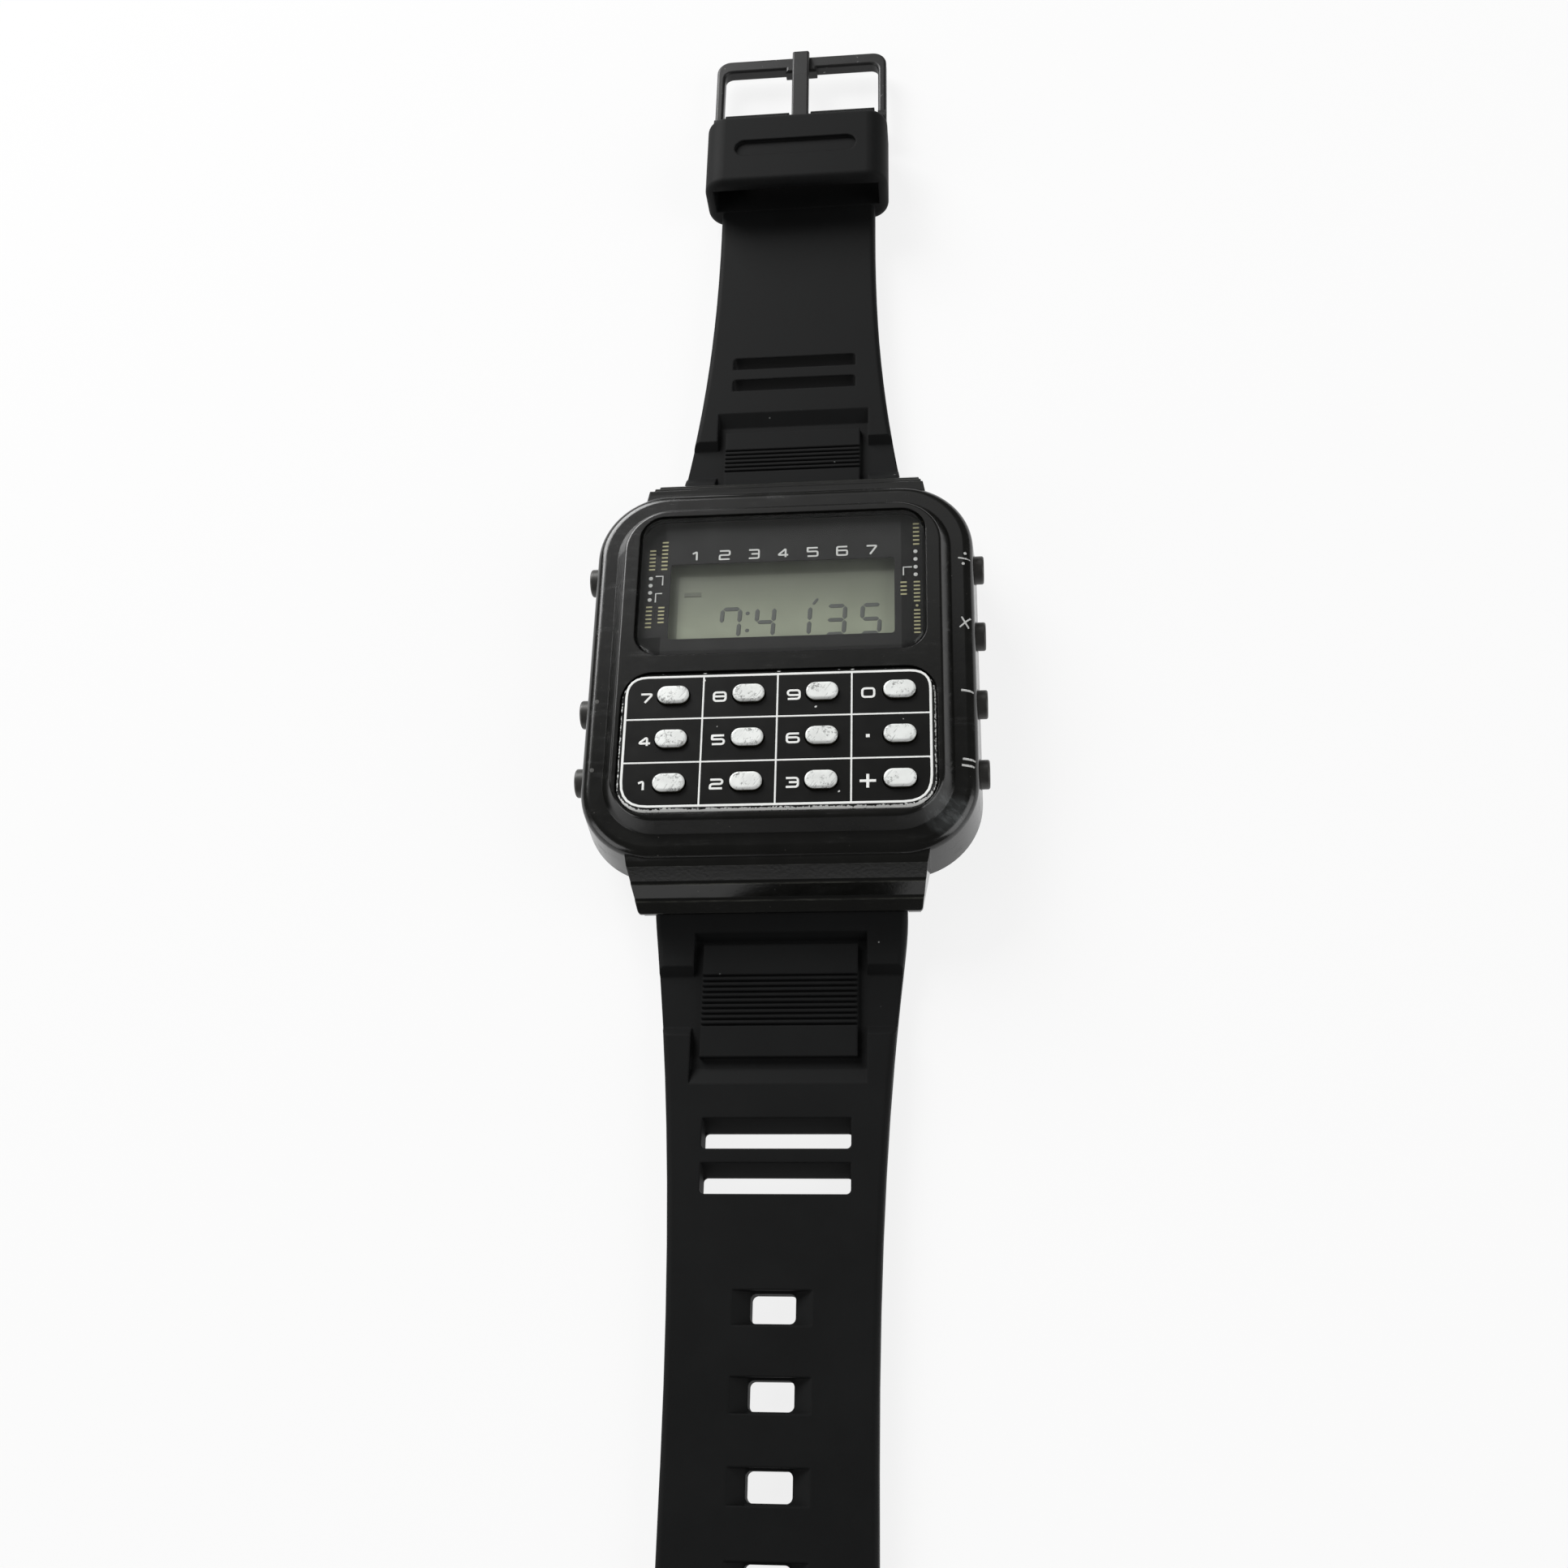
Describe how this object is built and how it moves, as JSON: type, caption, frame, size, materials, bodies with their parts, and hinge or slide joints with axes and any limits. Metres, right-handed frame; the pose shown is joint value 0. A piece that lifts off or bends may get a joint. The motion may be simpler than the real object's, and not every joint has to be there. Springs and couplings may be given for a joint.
{
  "type": "calculator watch",
  "caption": "Digital wristwatch with a keypad on its face, side pushers, a display window and a tapered two-part resin strap with a pin buckle, laid out flat.",
  "frame": {"origin": "centre of the case back's outer face, which the watch lies on", "axes": "+X to 3 o'clock, +Y to 12 o'clock along the strap, +Z out of the face"},
  "size_m": [0.0382, 0.213, 0.0106],
  "materials": {
    "case_resin": "moulded black resin, polished, with fine scratches",
    "crystal_glass": "clear, polished",
    "black_print": "black printed film with pale marks",
    "seal_rubber": "soft black rubber",
    "keypad_plate": "black lacquer with a white printed grid",
    "key_metallic": "silver lacquer, worn",
    "silicone": "translucent grey silicone",
    "lcd_glass": "grey-green display cell",
    "reflector_foil": "satin foil",
    "contact_rubber": "layered contact rubber",
    "module_plastic": "natural engineering plastic",
    "lamp_glass": "clear bulb",
    "board_laminate": "phenolic laminate",
    "chip_resin": "black potting",
    "can_metal": "drawn can",
    "trimmer_plastic": "brown ceramic",
    "cell_steel": "plated steel",
    "spring_steel": "spring steel",
    "back_steel": "brushed stainless steel",
    "screw_steel": "stainless steel",
    "bar_steel": "stainless steel",
    "strap_resin": "soft black resin, matte",
    "buckle_black": "black enamel",
    "pusher_metal": "dark plated steel",
    "contact_brass": "bare spring brass"
  },
  "bodies": {
    "case": {"case_body": "case_resin", "display_crystal": "crystal_glass", "keypad_panel": "keypad_plate", "case_back": "back_steel", "case_back_screws": "screw_steel", "spring_bar_upper": "bar_steel", "spring_bar_lower": "bar_steel", "crystal_mask": "black_print", "crystal_seal": "seal_rubber", "lcd_reflector": "reflector_foil", "zebra_strips": "contact_rubber", "module_frame": "module_plastic", "lamp": "lamp_glass", "circuit_board": "board_laminate", "ic_chip": "chip_resin", "quartz_crystal": "can_metal", "trimmer_capacitor": "trimmer_plastic", "battery_holder": "module_plastic", "battery": "cell_steel", "battery_clamp": "spring_steel", "case_gasket": "seal_rubber", "lcd_glass": "lcd_glass", "key_mat": "silicone", "button_contacts": "contact_brass", "pusher_seals": "seal_rubber", "spring_right_1": "spring_steel", "spring_right_2": "spring_steel", "spring_right_3": "spring_steel", "spring_right_4": "spring_steel", "spring_left_1": "spring_steel", "spring_left_2": "spring_steel", "spring_left_3": "spring_steel"},
    "key_7_cap": {"key_7": "key_metallic"},
    "key_8_cap": {"key_8": "key_metallic"},
    "key_9_cap": {"key_9": "key_metallic"},
    "key_0_cap": {"key_0": "key_metallic"},
    "key_4_cap": {"key_4": "key_metallic"},
    "key_5_cap": {"key_5": "key_metallic"},
    "key_6_cap": {"key_6": "key_metallic"},
    "key_point_cap": {"key_point": "key_metallic"},
    "key_1_cap": {"key_1": "key_metallic"},
    "key_2_cap": {"key_2": "key_metallic"},
    "key_3_cap": {"key_3": "key_metallic"},
    "key_plus_cap": {"key_plus": "key_metallic"},
    "pusher_right_1_stem": {"pusher_right_1": "pusher_metal"},
    "pusher_right_2_stem": {"pusher_right_2": "pusher_metal"},
    "pusher_right_3_stem": {"pusher_right_3": "pusher_metal"},
    "pusher_right_4_stem": {"pusher_right_4": "pusher_metal"},
    "pusher_left_1_stem": {"pusher_left_1": "pusher_metal"},
    "pusher_left_2_stem": {"pusher_left_2": "pusher_metal"},
    "pusher_left_3_stem": {"pusher_left_3": "pusher_metal"},
    "strap_upper": {"strap_buckle_side": "strap_resin", "buckle_bar": "bar_steel"},
    "strap_lower": {"strap_hole_side": "strap_resin"},
    "buckle": {"buckle_frame": "buckle_black"},
    "tongue": {"buckle_tongue": "buckle_black"}
  },
  "joints": [
    {"name": "key_7_press", "type": "slide", "parent": "case", "child": "key_7_cap", "axis": [0, 0, -1], "range_m": [0, 0.0004], "stiffness_N_per_m": 500, "springref_m": -0.0004},
    {"name": "key_8_press", "type": "slide", "parent": "case", "child": "key_8_cap", "axis": [0, 0, -1], "range_m": [0, 0.0004], "stiffness_N_per_m": 500, "springref_m": -0.0004},
    {"name": "key_9_press", "type": "slide", "parent": "case", "child": "key_9_cap", "axis": [0, 0, -1], "range_m": [0, 0.0004], "stiffness_N_per_m": 500, "springref_m": -0.0004},
    {"name": "key_0_press", "type": "slide", "parent": "case", "child": "key_0_cap", "axis": [0, 0, -1], "range_m": [0, 0.0004], "stiffness_N_per_m": 500, "springref_m": -0.0004},
    {"name": "key_4_press", "type": "slide", "parent": "case", "child": "key_4_cap", "axis": [0, 0, -1], "range_m": [0, 0.0004], "stiffness_N_per_m": 500, "springref_m": -0.0004},
    {"name": "key_5_press", "type": "slide", "parent": "case", "child": "key_5_cap", "axis": [0, 0, -1], "range_m": [0, 0.0004], "stiffness_N_per_m": 500, "springref_m": -0.0004},
    {"name": "key_6_press", "type": "slide", "parent": "case", "child": "key_6_cap", "axis": [0, 0, -1], "range_m": [0, 0.0004], "stiffness_N_per_m": 500, "springref_m": -0.0004},
    {"name": "key_point_press", "type": "slide", "parent": "case", "child": "key_point_cap", "axis": [0, 0, -1], "range_m": [0, 0.0004], "stiffness_N_per_m": 500, "springref_m": -0.0004},
    {"name": "key_1_press", "type": "slide", "parent": "case", "child": "key_1_cap", "axis": [0, 0, -1], "range_m": [0, 0.0004], "stiffness_N_per_m": 500, "springref_m": -0.0004},
    {"name": "key_2_press", "type": "slide", "parent": "case", "child": "key_2_cap", "axis": [0, 0, -1], "range_m": [0, 0.0004], "stiffness_N_per_m": 500, "springref_m": -0.0004},
    {"name": "key_3_press", "type": "slide", "parent": "case", "child": "key_3_cap", "axis": [0, 0, -1], "range_m": [0, 0.0004], "stiffness_N_per_m": 500, "springref_m": -0.0004},
    {"name": "key_plus_press", "type": "slide", "parent": "case", "child": "key_plus_cap", "axis": [0, 0, -1], "range_m": [0, 0.0004], "stiffness_N_per_m": 500, "springref_m": -0.0004},
    {"name": "pusher_right_1_press", "type": "slide", "parent": "case", "child": "pusher_right_1_stem", "axis": [-1, 0, 0], "range_m": [0, 0.0005], "stiffness_N_per_m": 800, "springref_m": -0.0005, "deforming": ["spring_right_1"]},
    {"name": "pusher_right_2_press", "type": "slide", "parent": "case", "child": "pusher_right_2_stem", "axis": [-1, 0, 0], "range_m": [0, 0.0005], "stiffness_N_per_m": 800, "springref_m": -0.0005, "deforming": ["spring_right_2"]},
    {"name": "pusher_right_3_press", "type": "slide", "parent": "case", "child": "pusher_right_3_stem", "axis": [-1, 0, 0], "range_m": [0, 0.0005], "stiffness_N_per_m": 800, "springref_m": -0.0005, "deforming": ["spring_right_3"]},
    {"name": "pusher_right_4_press", "type": "slide", "parent": "case", "child": "pusher_right_4_stem", "axis": [-1, 0, 0], "range_m": [0, 0.0005], "stiffness_N_per_m": 800, "springref_m": -0.0005, "deforming": ["spring_right_4"]},
    {"name": "pusher_left_1_press", "type": "slide", "parent": "case", "child": "pusher_left_1_stem", "axis": [1, 0, 0], "range_m": [0, 0.0005], "stiffness_N_per_m": 800, "springref_m": -0.0005, "deforming": ["spring_left_1"]},
    {"name": "pusher_left_2_press", "type": "slide", "parent": "case", "child": "pusher_left_2_stem", "axis": [1, 0, 0], "range_m": [0, 0.0005], "stiffness_N_per_m": 800, "springref_m": -0.0005, "deforming": ["spring_left_2"]},
    {"name": "pusher_left_3_press", "type": "slide", "parent": "case", "child": "pusher_left_3_stem", "axis": [1, 0, 0], "range_m": [0, 0.0005], "stiffness_N_per_m": 800, "springref_m": -0.0005, "deforming": ["spring_left_3"]},
    {"name": "strap_upper_swing", "type": "hinge", "parent": "case", "child": "strap_upper", "pos_m": [0, 0.0209, 0.0024], "axis": [-1, 0, 0], "range_deg": [-8, 80]},
    {"name": "strap_lower_swing", "type": "hinge", "parent": "case", "child": "strap_lower", "pos_m": [0, -0.0209, 0.0024], "axis": [1, 0, 0], "range_deg": [-8, 80]},
    {"name": "buckle_swing", "type": "hinge", "parent": "strap_upper", "child": "buckle", "pos_m": [0, 0.0726, 0.0019], "axis": [1, 0, 0], "range_deg": [-80, 60]},
    {"name": "tongue_swing", "type": "hinge", "parent": "buckle", "child": "tongue", "pos_m": [0, 0.0726, 0.0019], "axis": [1, 0, 0], "range_deg": [0, 40]}
  ]
}
